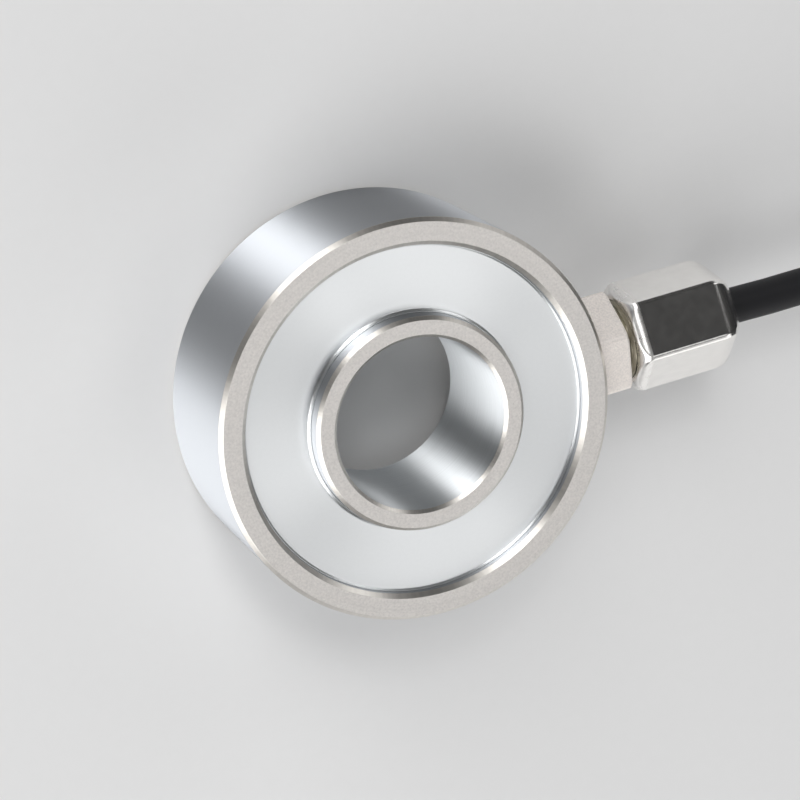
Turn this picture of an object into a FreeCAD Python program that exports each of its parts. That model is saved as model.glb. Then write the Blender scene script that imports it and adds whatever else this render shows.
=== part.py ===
"""A through-hole ring load cell with its cable gland and cable.

The bore runs along +Z and the ring stands on the foot of its rim at z = 0. The gland leaves the rim
along +X. A load on the raised collar bends the web between collar and rim, and the gauges on the web
read that bending. All sizes are in millimetres, and angles are in degrees.
"""
import FreeCAD
import Part
import math
import os

# Turned ring
OUTER_DIAMETER = 56.0
RIM_HEIGHT = 22.1
RIM_CHAMFER = 0.55
RECESS_DIAMETER = 48.5
RECESS_DEPTH = 1.65
RECESS_CHAMFER = 0.6
COLLAR_DIAMETER = 29.8
COLLAR_RISE = 1.15
COLLAR_CHAMFER = 0.5
BORE_DIAMETER = 24.0
BORE_CHAMFER = 0.45
WEB_UNDERSIDE = 2.8
WEB_THICKNESS = 5.0
FOOT_WIDTH = 5.0
FOOT_CHAMFER = 0.4
ROOT_FILLET = 0.4

# Cover over the gauge groove, with the weld fillet along each edge
COVER_THICKNESS = 1.2
COVER_GAP = 0.05
COLLAR_LEDGE = 0.85
RIM_LEDGE = 1.35
COLLAR_WELD = 0.5
RIM_WELD = 0.35
WELD_LAND = 0.1

# Gauges, leads and board on top of the web
GAUGE_WIDTH = 3.2
GAUGE_THICKNESS = 0.12
GAUGE_EDGE = 0.45
GAUGE_STATIONS = (45.0, 135.0, 225.0, 315.0)
LEAD_WIDTH = 0.3
LEAD_THICKNESS = 0.12
LEAD_GAP = 0.05
LEAD_LANE = 1.05
BOARD_THICKNESS = 0.8
BOARD_HALF_ANGLE = 26.0
BOARD_EDGE = 0.6
RESISTOR_LENGTH = 2.4
RESISTOR_WIDTH = 1.2
RESISTOR_HEIGHT = 0.7
RESISTOR_ANGLES = (-18.0, 13.0, 19.0)

# Cable
CABLE_DIAMETER = 5.2
CORE_DIAMETER = 1.1
CORE_PITCH = 1.15
CORE_BEND = 1.8
DRAIN_DIAMETER = 0.8
DRAIN_OFFSET = 1.3
JACKET_INSET = 0.7

# Gland body, screwed into the rim against a gasket on a spot face
PORT_HEIGHT = 13.05
FIT_GAP = 0.05
SPIGOT_DIAMETER = 10.0
SPIGOT_BACKSET = 0.2
SPOT_FACE_MARGIN = 0.25
GASKET_THICKNESS = 1.0
GASKET_DIAMETER = 13.6
HEX_ACROSS_FLATS = 14.0
HEX_CORNER_DIAMETER = 15.9
HEX_LENGTH = 4.85
HEX_END_CHAMFER = 0.3
HEX_TURN = 20.2
GLAND_BORE_GAP = 0.2
NECK_DIAMETER = 11.6
NECK_LENGTH = 11.4
POCKET_DIAMETER = 9.2
POCKET_DEPTH = 6.0

# Clamp insert and seal in the gland
SEAL_WALL = 1.15
INSERT_FLANGE_DIAMETER = 11.2
INSERT_FLANGE = 1.2
FINGER_LENGTH = 3.0
FINGER_TAPER = 0.4
FINGER_SLOT = 0.8
FINGER_COUNT = 6

# Dome nut: hexagonal, with both ends rounded
NUT_GAP = 1.5
NUT_LENGTH = 17.9
NUT_CORNER_DIAMETER = 15.8
NUT_SHOULDER_LENGTH = 1.6
NUT_SHOULDER_DROP = 0.9
NUT_DOME_LENGTH = 4.4
NUT_DOME_EDGE_RADIUS = 3.0
NUT_DOME_EDGE_SWEEP = 49.0
NUT_MOUTH_GAP = 0.15
NUT_MOUTH_WALL = 0.25
NUT_CHAMBER_GAP = 0.25
CABLE_START_INSET = 1.0

# Free cable: its route to the coil, and the coil that the rest is wound into
CABLE_ROUTE = ((76.0, 0.0, 13.05), (112.0, 23.0, 2.7), (132.0, 23.0, 2.6))
COIL_RADII = (35.0, 29.8, 24.6)
COIL_RISING_TURNS = 3.125
TIE_WIDTH = 3.6
TIE_THICKNESS = 1.2
TIE_GAP = 0.15
TIE_CORNER = 0.6
TIE_HEAD_LENGTH = 5.0
TIE_HEAD_HEIGHT = 3.2
TIE_ANGLE = 225.0

# Far end, lying on the coil: angle, radius and height above the coil's top
END_ROUTE = (
    (122.0, 25.5, -1.6),
    (92.0, 27.0, 1.0),
    (62.0, 29.0, 3.0),
    (32.0, 31.0, 3.0),
    (2.0, 32.0, 3.0),
    (-25.0, 32.0, 3.0),
)
SLEEVE_WALL = 0.3
SLEEVE_LENGTH = 6.5
SLEEVE_OVERHANG = 2.0
FAR_CORE_GAP = 0.2
FAR_CORE_LENGTH = 13.0
FAR_CORE_FAN = 6.0
FAR_CORE_DROP = 7.0
TIP_DIAMETER = 0.7
TIP_LENGTH = 5.0
TAIL_LENGTH = 15.0

CORE_COLOURS = ("red", "black", "green", "white")

# Places that several pieces share
OUTER_RADIUS = OUTER_DIAMETER / 2
RECESS_RADIUS = RECESS_DIAMETER / 2
COLLAR_RADIUS = COLLAR_DIAMETER / 2
BORE_RADIUS = BORE_DIAMETER / 2
COLLAR_TOP = RIM_HEIGHT + COLLAR_RISE
COVER_TOP = RIM_HEIGHT - RECESS_DEPTH
LEDGE_HEIGHT = COVER_TOP - COVER_THICKNESS
WEB_TOP = WEB_UNDERSIDE + WEB_THICKNESS
GROOVE_INNER = COLLAR_RADIUS + COLLAR_LEDGE
GROOVE_OUTER = RECESS_RADIUS - RIM_LEDGE
GAUGE_RADIAL = (GROOVE_OUTER - GROOVE_INNER - LEAD_LANE) / 2 - GAUGE_EDGE
FOOT_RADIUS = OUTER_RADIUS - FOOT_WIDTH
BOARD_TOP = WEB_TOP + BOARD_THICKNESS
CABLE_RADIUS = CABLE_DIAMETER / 2
HEX_TRUE_CORNER = HEX_ACROSS_FLATS / math.sqrt(3)
SPOT_FACE_RADIUS = HEX_TRUE_CORNER + SPOT_FACE_MARGIN
SPOT_FACE_X = math.sqrt(OUTER_RADIUS**2 - SPOT_FACE_RADIUS**2)
HEX_START = SPOT_FACE_X + GASKET_THICKNESS
HEX_END = HEX_START + HEX_LENGTH
NECK_END = HEX_END + NECK_LENGTH
POCKET_FLOOR = NECK_END - POCKET_DEPTH
INSERT_FLANGE_END = NECK_END + INSERT_FLANGE
FINGER_END = INSERT_FLANGE_END + FINGER_LENGTH
NUT_START = HEX_END + NUT_GAP
NUT_END = NUT_START + NUT_LENGTH
SEAL_OUTER = CABLE_RADIUS + FIT_GAP + SEAL_WALL
JACKET_END = GROOVE_OUTER + JACKET_INSET
CABLE_START = NUT_END - CABLE_START_INSET
COIL_TOP = (COIL_RISING_TURNS + 1) * CABLE_DIAMETER
COIL_OUTER = COIL_RADII[0] + CABLE_RADIUS
COIL_INNER = COIL_RADII[-1] - CABLE_RADIUS
COIL_CENTRE = (CABLE_ROUTE[-1][0], CABLE_ROUTE[-1][1] - COIL_RADII[0])

V = FreeCAD.Vector
ORIGIN = V(0, 0, 0)
X_AXIS = V(1, 0, 0)
Y_AXIS = V(0, 1, 0)
Z_AXIS = V(0, 0, 1)
GLAND_CENTRE = V(0, 0, PORT_HEIGHT)
FULL_TURN = 360.0
TOUCHING = 1e-6


def save(node, shape):
    """Write one sub-part to its own file."""
    shape.exportStep(f"parts/{node}.step")


def face_of(edges):
    """The flat face inside a closed run of edges."""
    return Part.Face(Part.Wire(edges))


def ring_from(outline):
    """A solid of revolution about Z from (radius, height) corners. A corner may carry a fillet."""
    corners = [V(c[0], 0, c[1]) for c in outline]
    fillets = [c[2] if len(c) > 2 else 0 for c in outline]
    return face_of(rounded_polygon(corners, fillets)).revolve(ORIGIN, Z_AXIS, FULL_TURN)


def rounded_polygon(corners, fillets):
    """The edges of a closed polygon whose corners are rounded by their own radii."""
    count = len(corners)
    edges = []
    starts, ends, middles = [], [], []
    for i, corner in enumerate(corners):
        before = (corners[i - 1] - corner).normalize()
        after = (corners[(i + 1) % count] - corner).normalize()
        half = before.getAngle(after) / 2
        reach = fillets[i] / math.tan(half)
        bisector = (before + after).normalize() if fillets[i] else before
        starts.append(corner + before * reach)
        ends.append(corner + after * reach)
        middles.append(corner + bisector * (fillets[i] / math.sin(half) - fillets[i]))
    for i in range(count):
        if fillets[i]:
            edges.append(Part.Arc(starts[i], middles[i], ends[i]).toShape())
        side_end = starts[(i + 1) % count]
        if not ends[i].isEqual(side_end, TOUCHING):
            edges.append(Part.makeLine(ends[i], side_end))
    return edges


def gland_ring(outline):
    """A solid of revolution about the gland's axis from (x, radius) corners."""
    corners = [V(x, 0, PORT_HEIGHT + r) for x, r in outline]
    return Part.Face(Part.makePolygon(corners + corners[:1])).revolve(GLAND_CENTRE, X_AXIS, FULL_TURN)


def gland_rod(start, end, radius):
    """A round bar on the gland's axis."""
    return Part.makeCylinder(radius, end - start, V(start, 0, PORT_HEIGHT), X_AXIS)


def tangent_arc(start, direction, end):
    """The arc that leaves start along a direction and ends at end."""
    chord = end - start
    normal = (chord - direction * chord.dot(direction)).normalize()
    radius = chord.dot(chord) / (2 * chord.dot(normal))
    centre = start + normal * radius
    middle = centre + (start + chord * 0.5 - centre).normalize() * radius
    return Part.Arc(start, middle, end).toShape()


def ring_body():
    """Rim, web and collar, turned in one piece, with the port for the gland through the rim."""
    outline = [
        (OUTER_RADIUS - RIM_CHAMFER, 0),
        (OUTER_RADIUS, RIM_CHAMFER),
        (OUTER_RADIUS, RIM_HEIGHT - RIM_CHAMFER),
        (OUTER_RADIUS - RIM_CHAMFER, RIM_HEIGHT),
        (RECESS_RADIUS + RECESS_CHAMFER, RIM_HEIGHT),
        (RECESS_RADIUS, RIM_HEIGHT - RECESS_CHAMFER),
        (RECESS_RADIUS, LEDGE_HEIGHT),
        (GROOVE_OUTER, LEDGE_HEIGHT),
        (GROOVE_OUTER, WEB_TOP, ROOT_FILLET),
        (GROOVE_INNER, WEB_TOP, ROOT_FILLET),
        (GROOVE_INNER, LEDGE_HEIGHT),
        (COLLAR_RADIUS, LEDGE_HEIGHT),
        (COLLAR_RADIUS, COLLAR_TOP - COLLAR_CHAMFER),
        (COLLAR_RADIUS - COLLAR_CHAMFER, COLLAR_TOP),
        (BORE_RADIUS + BORE_CHAMFER, COLLAR_TOP),
        (BORE_RADIUS, COLLAR_TOP - BORE_CHAMFER),
        (BORE_RADIUS, WEB_UNDERSIDE + BORE_CHAMFER),
        (BORE_RADIUS + BORE_CHAMFER, WEB_UNDERSIDE),
        (FOOT_RADIUS, WEB_UNDERSIDE, ROOT_FILLET),
        (FOOT_RADIUS, FOOT_CHAMFER),
        (FOOT_RADIUS + FOOT_CHAMFER, 0),
    ]
    middle_of_groove = (GROOVE_INNER + GROOVE_OUTER) / 2
    port = gland_rod(middle_of_groove, OUTER_RADIUS, SPIGOT_DIAMETER / 2 + FIT_GAP)
    spot_face = gland_rod(SPOT_FACE_X, OUTER_RADIUS, SPOT_FACE_RADIUS)
    return ring_from(outline).cut(port).cut(spot_face)


def gauge_cover():
    """The annular cover on its two ledges. A concave weld fillet runs up the wall at each edge."""
    inner = COLLAR_RADIUS + COVER_GAP
    outer = RECESS_RADIUS - COVER_GAP
    corners = [
        (inner, LEDGE_HEIGHT),
        (outer, LEDGE_HEIGHT),
        (outer, COVER_TOP + RIM_WELD),
        (outer - WELD_LAND, COVER_TOP + RIM_WELD),
        (outer - WELD_LAND, COVER_TOP, RIM_WELD),
        (inner + WELD_LAND, COVER_TOP, COLLAR_WELD),
        (inner + WELD_LAND, COVER_TOP + COLLAR_WELD),
        (inner, COVER_TOP + COLLAR_WELD),
    ]
    return ring_from(corners)


def strain_gauge(station, middle):
    """One foil gauge on the web, its grid along the radius."""
    corner = V(middle - GAUGE_RADIAL / 2, -GAUGE_WIDTH / 2, WEB_TOP)
    gauge = Part.makeBox(GAUGE_RADIAL, GAUGE_WIDTH, GAUGE_THICKNESS, corner)
    return gauge.rotate(ORIGIN, Z_AXIS, station)


def gauge_lead(radius, start, end):
    """A flat lead that lies on the web along an arc."""
    section = Part.makePlane(LEAD_WIDTH, LEAD_THICKNESS, V(radius - LEAD_WIDTH / 2, 0, WEB_TOP), -Y_AXIS, X_AXIS)
    return section.rotate(ORIGIN, Z_AXIS, start).revolve(ORIGIN, Z_AXIS, end - start)


def gauges_and_leads():
    """Eight gauges and their leads, by node. Leads of the far stations pass between the near gauges."""
    inner = GROOVE_INNER + GAUGE_EDGE + GAUGE_RADIAL / 2
    outer = GROOVE_OUTER - GAUGE_EDGE - GAUGE_RADIAL / 2
    inner_corner = math.hypot(inner + GAUGE_RADIAL / 2, GAUGE_WIDTH / 2)
    inner_lane = inner_corner + LEAD_GAP + LEAD_WIDTH / 2
    outer_lane = outer - GAUGE_RADIAL / 2 - LEAD_GAP - LEAD_WIDTH / 2
    nodes = {}
    number = 0
    for station in GAUGE_STATIONS:
        side = station if station < FULL_TURN / 2 else station - FULL_TURN
        near = abs(side) < FULL_TURN / 4
        board_edge = math.copysign(BOARD_HALF_ANGLE, side)
        for middle, far_lane in ((inner, inner_lane), (outer, outer_lane)):
            number += 1
            half_angle = math.degrees(math.atan(GAUGE_WIDTH / 2 / (middle - GAUGE_RADIAL / 2)))
            start = side - math.copysign(half_angle, side) if near else side
            nodes[f"strain_gauge_{number}"] = strain_gauge(station, middle)
            nodes[f"gauge_lead_{number}"] = gauge_lead(middle if near else far_lane, start, board_edge)
    return nodes


def bridge_board():
    """The terminal board: a sector of the groove, glued to the web below the port."""
    section = [
        V(GROOVE_INNER + BOARD_EDGE, 0, WEB_TOP),
        V(GROOVE_OUTER - BOARD_EDGE, 0, WEB_TOP),
        V(GROOVE_OUTER - BOARD_EDGE, 0, BOARD_TOP),
        V(GROOVE_INNER + BOARD_EDGE, 0, BOARD_TOP),
    ]
    face = Part.Face(Part.makePolygon(section + section[:1])).rotate(ORIGIN, Z_AXIS, -BOARD_HALF_ANGLE)
    return face.revolve(ORIGIN, Z_AXIS, 2 * BOARD_HALF_ANGLE)


def trim_resistor(angle):
    """One chip resistor across the board."""
    middle = (GROOVE_INNER + GROOVE_OUTER) / 2
    corner = V(middle - RESISTOR_LENGTH / 2, -RESISTOR_WIDTH / 2, BOARD_TOP)
    chip = Part.makeBox(RESISTOR_LENGTH, RESISTOR_WIDTH, RESISTOR_HEIGHT, corner)
    return chip.rotate(ORIGIN, Z_AXIS, angle)


def bent_wire(across, height, landing, radius):
    """A wire from the jacket's end along -X that bends down onto the board."""
    bend_start = V(landing + CORE_BEND, across, height)
    bend_end = V(landing, across, height - CORE_BEND)
    start = V(JACKET_END, across, height)
    path = Part.Wire(
        [
            Part.makeLine(start, bend_start),
            tangent_arc(bend_start, -X_AXIS, bend_end),
            Part.makeLine(bend_end, V(landing, across, BOARD_TOP)),
        ]
    )
    return tube_along(path, start, -X_AXIS, radius)


def tube_along(path, start, direction, radius):
    """A round bar along a smooth path."""
    section = Part.Wire(Part.makeCircle(radius, start, direction))
    return path.makePipeShell([section], True, False)


def inner_wires():
    """The four cores and the shield's drain, from the jacket to their pads, by node."""
    middle = (GROOVE_INNER + GROOVE_OUTER) / 2
    nodes = {}
    for i, colour in enumerate(CORE_COLOURS):
        across = (i - (len(CORE_COLOURS) - 1) / 2) * CORE_PITCH
        nodes[f"core_{colour}"] = bent_wire(across, PORT_HEIGHT, middle - CORE_PITCH, CORE_DIAMETER / 2)
    drain_height = PORT_HEIGHT - DRAIN_OFFSET
    nodes["shield_drain"] = bent_wire(0, drain_height, middle + CORE_PITCH, DRAIN_DIAMETER / 2)
    return nodes


def hex_prism(across_flats, start, end, turn):
    """A hexagonal bar on the gland's axis. One flat faces the direction at turn from +Z towards +Y."""
    corners = []
    for i in range(6):
        angle = math.radians(turn + 30 + 60 * i)
        reach = across_flats / math.sqrt(3)
        corners.append(V(start, reach * math.sin(angle), PORT_HEIGHT + reach * math.cos(angle)))
    return Part.Face(Part.makePolygon(corners + corners[:1])).extrude(X_AXIS * (end - start))


def gland_body():
    """Spigot, hexagon and neck in one turned piece, bored for the cable and the clamp insert."""
    corner = HEX_CORNER_DIAMETER / 2
    end_radius = corner - HEX_END_CHAMFER
    edge_break = gland_ring(
        [
            (HEX_START, 0),
            (HEX_START, end_radius),
            (HEX_START + HEX_END_CHAMFER, corner),
            (HEX_END - HEX_END_CHAMFER, corner),
            (HEX_END, end_radius),
            (HEX_END, 0),
        ]
    )
    flat_to_corner = 30
    hexagon = hex_prism(HEX_ACROSS_FLATS, HEX_START, HEX_END, HEX_TURN + flat_to_corner).common(edge_break)
    spigot_start = GROOVE_OUTER + SPIGOT_BACKSET
    spigot = gland_rod(spigot_start, HEX_START, SPIGOT_DIAMETER / 2)
    neck = gland_rod(HEX_END, NECK_END, NECK_DIAMETER / 2)
    bore = gland_rod(spigot_start, NECK_END, CABLE_RADIUS + GLAND_BORE_GAP)
    pocket = gland_rod(POCKET_FLOOR, NECK_END, POCKET_DIAMETER / 2)
    return hexagon.fuse([spigot, neck]).removeSplitter().cut(bore).cut(pocket)


def gland_gasket():
    """The sealing washer between the hexagon and the spot face."""
    washer = gland_rod(SPOT_FACE_X, HEX_START, GASKET_DIAMETER / 2)
    return washer.cut(gland_rod(SPOT_FACE_X, HEX_START, SPIGOT_DIAMETER / 2 + FIT_GAP))


def gland_seal():
    """The rubber sleeve around the cable, inside the clamp insert."""
    sleeve = gland_rod(POCKET_FLOOR, FINGER_END, SEAL_OUTER)
    return sleeve.cut(gland_rod(POCKET_FLOOR, FINGER_END, CABLE_RADIUS + FIT_GAP))


def clamp_insert():
    """A sleeve in the neck with a flange on its end, and slotted fingers that the nut closes."""
    inner = SEAL_OUTER + FIT_GAP
    sleeve_radius = POCKET_DIAMETER / 2 - FIT_GAP
    insert = gland_ring(
        [
            (POCKET_FLOOR, inner),
            (POCKET_FLOOR, sleeve_radius),
            (NECK_END, sleeve_radius),
            (NECK_END, INSERT_FLANGE_DIAMETER / 2),
            (INSERT_FLANGE_END, INSERT_FLANGE_DIAMETER / 2),
            (INSERT_FLANGE_END, sleeve_radius),
            (FINGER_END, sleeve_radius - FINGER_TAPER),
            (FINGER_END, inner),
        ]
    )
    slot_corner = V(INSERT_FLANGE_END, -FINGER_SLOT / 2, PORT_HEIGHT)
    slot = Part.makeBox(FINGER_LENGTH, FINGER_SLOT, INSERT_FLANGE_DIAMETER, slot_corner)
    slots = [slot.rotated(GLAND_CENTRE, X_AXIS, FULL_TURN / FINGER_COUNT * i) for i in range(FINGER_COUNT)]
    return insert.cut(slots)


def nut_half_outline(reach, tip):
    """The nut's outline above its axis: rounded shoulder, straight side, and dome in two arcs."""
    shoulder = V(NUT_START, 0, PORT_HEIGHT + reach - NUT_SHOULDER_DROP)
    side_start = V(NUT_START + NUT_SHOULDER_LENGTH, 0, PORT_HEIGHT + reach)
    side_end = V(NUT_END - NUT_DOME_LENGTH, 0, PORT_HEIGHT + reach)
    sweep = math.radians(NUT_DOME_EDGE_SWEEP)
    edge_end = side_end + V(math.sin(sweep), 0, math.cos(sweep) - 1) * NUT_DOME_EDGE_RADIUS
    slope = V(math.cos(sweep), 0, -math.sin(sweep))
    dome_tip = V(NUT_END, 0, PORT_HEIGHT + tip)
    return [
        tangent_arc(side_start, -X_AXIS, shoulder),
        Part.makeLine(side_start, side_end),
        tangent_arc(side_end, X_AXIS, edge_end),
        tangent_arc(edge_end, slope, dome_tip),
    ]


def nut_outside():
    """Three outlines extruded across the axis meet in a hexagon that is rounded at both ends.

    The turned outline of the corners then rounds the six edges and brings the tip to a circle.
    """
    tip = CABLE_RADIUS + NUT_MOUTH_GAP + NUT_MOUTH_WALL
    flat = HEX_ACROSS_FLATS / 2
    upper = nut_half_outline(flat, tip)
    lower = [edge.rotated(GLAND_CENTRE, X_AXIS, FULL_TURN / 2) for edge in upper]
    start_drop = flat - NUT_SHOULDER_DROP
    ends = [
        Part.makeLine(V(NUT_START, 0, PORT_HEIGHT - start_drop), V(NUT_START, 0, PORT_HEIGHT + start_drop)),
        Part.makeLine(V(NUT_END, 0, PORT_HEIGHT + tip), V(NUT_END, 0, PORT_HEIGHT - tip)),
    ]
    side_view = face_of(Part.__sortEdges__(upper + lower + ends))
    width = 2 * HEX_ACROSS_FLATS
    prism = side_view.translated(-Y_AXIS * (width / 2)).extrude(Y_AXIS * width)
    prisms = [prism.rotated(GLAND_CENTRE, X_AXIS, -HEX_TURN - 60 * i) for i in range(3)]
    corner = NUT_CORNER_DIAMETER / 2
    axis = [
        Part.makeLine(V(NUT_START, 0, PORT_HEIGHT), V(NUT_START, 0, PORT_HEIGHT + corner - NUT_SHOULDER_DROP)),
        Part.makeLine(V(NUT_END, 0, PORT_HEIGHT + tip), V(NUT_END, 0, PORT_HEIGHT)),
        Part.makeLine(V(NUT_END, 0, PORT_HEIGHT), V(NUT_START, 0, PORT_HEIGHT)),
    ]
    half_view = face_of(Part.__sortEdges__(nut_half_outline(corner, tip) + axis))
    turned = half_view.revolve(GLAND_CENTRE, X_AXIS, FULL_TURN)
    return turned.common(prisms[0]).common(prisms[1]).common(prisms[2])


def gland_nut():
    """The dome nut, bored for the neck and the clamp insert, with a mouth for the cable."""
    chamber_start = INSERT_FLANGE_END + NUT_CHAMBER_GAP
    chamber_end = FINGER_END + NUT_CHAMBER_GAP
    finger_radius = POCKET_DIAMETER / 2
    inside = gland_ring(
        [
            (NUT_START, 0),
            (NUT_START, NECK_DIAMETER / 2 + FIT_GAP),
            (chamber_start, NECK_DIAMETER / 2 + FIT_GAP),
            (chamber_start, finger_radius + NUT_CHAMBER_GAP),
            (chamber_end, finger_radius - FINGER_TAPER + NUT_CHAMBER_GAP),
            (chamber_end, CABLE_RADIUS + NUT_MOUTH_GAP),
            (NUT_END, CABLE_RADIUS + NUT_MOUTH_GAP),
            (NUT_END, 0),
        ]
    )
    return nut_outside().cut(inside)


def cord_path(points, name):
    """Straight runs joined by tangent arcs, each as large as its two runs allow. Prints the radii."""
    share = 0.45
    edges = []
    radii = []
    last = points[0]
    for before, corner, after in zip(points, points[1:], points[2:]):
        into = (corner - before).normalize()
        out = (after - corner).normalize()
        reach = share * min((corner - before).Length, (after - corner).Length)
        start = corner - into * reach
        end = corner + out * reach
        edges.append(Part.makeLine(last, start))
        edges.append(tangent_arc(start, into, end))
        radii.append(reach / math.tan(into.getAngle(out) / 2))
        last = end
    edges.append(Part.makeLine(last, points[-1]))
    print(name, "arc radii", [round(r, 1) for r in radii])
    return Part.Wire(edges)


def cord_tube(points, name):
    """The cable along a route. Prints its volume beside its section times its length."""
    path = cord_path(points, name)
    tube = tube_along(path, points[0], (points[1] - points[0]).normalize(), CABLE_RADIUS)
    print(name, "volume", round(tube.Volume, 1), "of", round(math.pi * CABLE_RADIUS**2 * path.Length, 1))
    return tube


def coil_point(angle, radius, height):
    """A point given by its angle and radius about the coil's axis."""
    turn = math.radians(angle)
    return V(COIL_CENTRE[0] + radius * math.cos(turn), COIL_CENTRE[1] + radius * math.sin(turn), height)


def cable_coil():
    """The outer shape of the coil, rounded like its turns, with room for the tie below it."""
    outline = [
        (COIL_INNER, 0, CABLE_RADIUS),
        (COIL_OUTER, 0, CABLE_RADIUS),
        (COIL_OUTER, COIL_TOP, CABLE_RADIUS),
        (COIL_INNER, COIL_TOP, CABLE_RADIUS),
    ]
    coil = ring_from(outline).translate(V(*COIL_CENTRE, 0))
    depth = TIE_THICKNESS + TIE_GAP
    width = TIE_WIDTH + 2 * TIE_GAP
    corner = V(COIL_INNER - depth, -width / 2, 0)
    notch = Part.makeBox(COIL_OUTER - COIL_INNER + 2 * depth, width, depth, corner)
    return coil.cut(at_tie(notch))


def at_tie(shape):
    """Carry a shape made at angle 0 of a coil on the origin to the tie's place."""
    return shape.rotated(ORIGIN, Z_AXIS, TIE_ANGLE).translate(V(*COIL_CENTRE, 0))


def cable_tie():
    """A strap around the bundle of turns, with its locking head on top."""
    inner = COIL_INNER - TIE_GAP
    outer = COIL_OUTER + TIE_GAP
    low = TIE_THICKNESS
    high = COIL_TOP + TIE_GAP
    inside = rounded_polygon(
        [V(inner, 0, low), V(outer, 0, low), V(outer, 0, high), V(inner, 0, high)],
        [TIE_CORNER] * 4,
    )
    edge = TIE_THICKNESS
    outside = rounded_polygon(
        [
            V(inner - edge, 0, low - edge),
            V(outer + edge, 0, low - edge),
            V(outer + edge, 0, high + edge),
            V(inner - edge, 0, high + edge),
        ],
        [TIE_CORNER + edge] * 4,
    )
    strap = face_of(outside).cut(face_of(inside)).extrude(Y_AXIS * TIE_WIDTH)
    middle = (inner + outer) / 2
    head_width = TIE_WIDTH + TIE_THICKNESS
    head_corner = V(middle - TIE_HEAD_LENGTH / 2, (TIE_WIDTH - head_width) / 2, high)
    head = Part.makeBox(TIE_HEAD_LENGTH, head_width, TIE_HEAD_HEIGHT, head_corner)
    tie = strap.fuse(head).removeSplitter()
    return at_tie(tie.translate(-Y_AXIS * (TIE_WIDTH / 2)))


def far_end_frame():
    """Where the jacket ends on the coil, with the directions onward and to the left."""
    points = [coil_point(angle, radius, COIL_TOP + height) for angle, radius, height in END_ROUTE]
    onward = (points[-1] - points[-2]).normalize()
    return points, onward, Z_AXIS.cross(onward).normalize()


def far_end():
    """The jacket's end on top of the coil, its sleeve, and the stripped cores, by node."""
    points, onward, left = far_end_frame()
    end = points[-1]
    sleeve_start = end + onward * (SLEEVE_OVERHANG - SLEEVE_LENGTH)
    sleeve_inner = CABLE_RADIUS + FIT_GAP
    sleeve = Part.makeCylinder(sleeve_inner + SLEEVE_WALL, SLEEVE_LENGTH, sleeve_start, onward)
    sleeve = sleeve.cut(Part.makeCylinder(sleeve_inner, SLEEVE_LENGTH, sleeve_start, onward))
    nodes = {"cable_end": cord_tube(points, "cable_end"), "end_sleeve": sleeve}
    down = onward * math.cos(math.radians(FAR_CORE_DROP)) - Z_AXIS * math.sin(math.radians(FAR_CORE_DROP))
    tips = []
    for i, colour in enumerate(CORE_COLOURS):
        place = i - (len(CORE_COLOURS) - 1) / 2
        fan = FreeCAD.Rotation(Z_AXIS, place * FAR_CORE_FAN)
        heading = fan.multVec(down)
        start = end + onward * FAR_CORE_GAP + left * (place * CORE_PITCH)
        nodes[f"far_core_{colour}"] = Part.makeCylinder(CORE_DIAMETER / 2, FAR_CORE_LENGTH, start, heading)
        tip_start = start + heading * FAR_CORE_LENGTH
        tips.append(Part.makeCylinder(TIP_DIAMETER / 2, TIP_LENGTH, tip_start, heading))
    nodes["tinned_tips"] = Part.makeCompound(tips)
    tail_start = end + Z_AXIS * DRAIN_OFFSET
    nodes["shield_tail"] = Part.makeCylinder(DRAIN_DIAMETER / 2, TAIL_LENGTH, tail_start, onward)
    return nodes


def build():
    """Every sub-part by its node name."""
    nodes = {"ring_body": ring_body(), "gauge_cover": gauge_cover(), "bridge_board": bridge_board()}
    nodes.update(gauges_and_leads())
    for i, angle in enumerate(RESISTOR_ANGLES):
        nodes[f"trim_resistor_{i + 1}"] = trim_resistor(angle)
    nodes.update(inner_wires())
    nodes["gland_gasket"] = gland_gasket()
    nodes["gland_body"] = gland_body()
    nodes["gland_seal"] = gland_seal()
    nodes["clamp_insert"] = clamp_insert()
    nodes["gland_nut"] = gland_nut()
    nodes["cable_inner_end"] = gland_rod(JACKET_END, CABLE_START, CABLE_RADIUS)
    coil = cable_coil()
    route = [V(CABLE_START, 0, PORT_HEIGHT)] + [V(*point) for point in CABLE_ROUTE]
    nodes["cable_run"] = cord_tube(route, "cable_run").cut(coil)
    nodes["cable_coil"] = coil
    nodes["cable_tie"] = cable_tie()
    nodes.update(far_end())
    nodes["cable_end"] = nodes["cable_end"].cut(coil)
    return nodes


def main():
    os.makedirs("parts", exist_ok=True)
    for node, shape in build().items():
        save(node, shape)


main()
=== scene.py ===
"""Looks of a through-hole ring load cell: turned ring, gauge cover, cable gland and coiled cable."""
import bmesh
import bpy
import math
import numpy as np
from bpy.props import FloatProperty, FloatVectorProperty, IntProperty, PointerProperty
from mathutils import Matrix, Vector


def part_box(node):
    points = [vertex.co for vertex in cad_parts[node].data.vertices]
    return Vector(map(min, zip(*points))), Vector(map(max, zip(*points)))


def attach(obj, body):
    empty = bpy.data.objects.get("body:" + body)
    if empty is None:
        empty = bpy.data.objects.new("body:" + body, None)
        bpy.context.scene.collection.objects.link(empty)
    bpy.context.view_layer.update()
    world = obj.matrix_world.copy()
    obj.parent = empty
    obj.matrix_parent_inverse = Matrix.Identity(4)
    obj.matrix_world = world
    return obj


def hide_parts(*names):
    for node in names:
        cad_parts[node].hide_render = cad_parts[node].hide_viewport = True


bl_info = {
    "name": "Ring load cell",
    "version": (1, 0, 0),
    "blender": (4, 5, 0),
    "location": "3D View > Sidebar > Load cell",
    "description": "Builds the finished surfaces of a ring load cell over its packed solids",
    "category": "Object",
}

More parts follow.
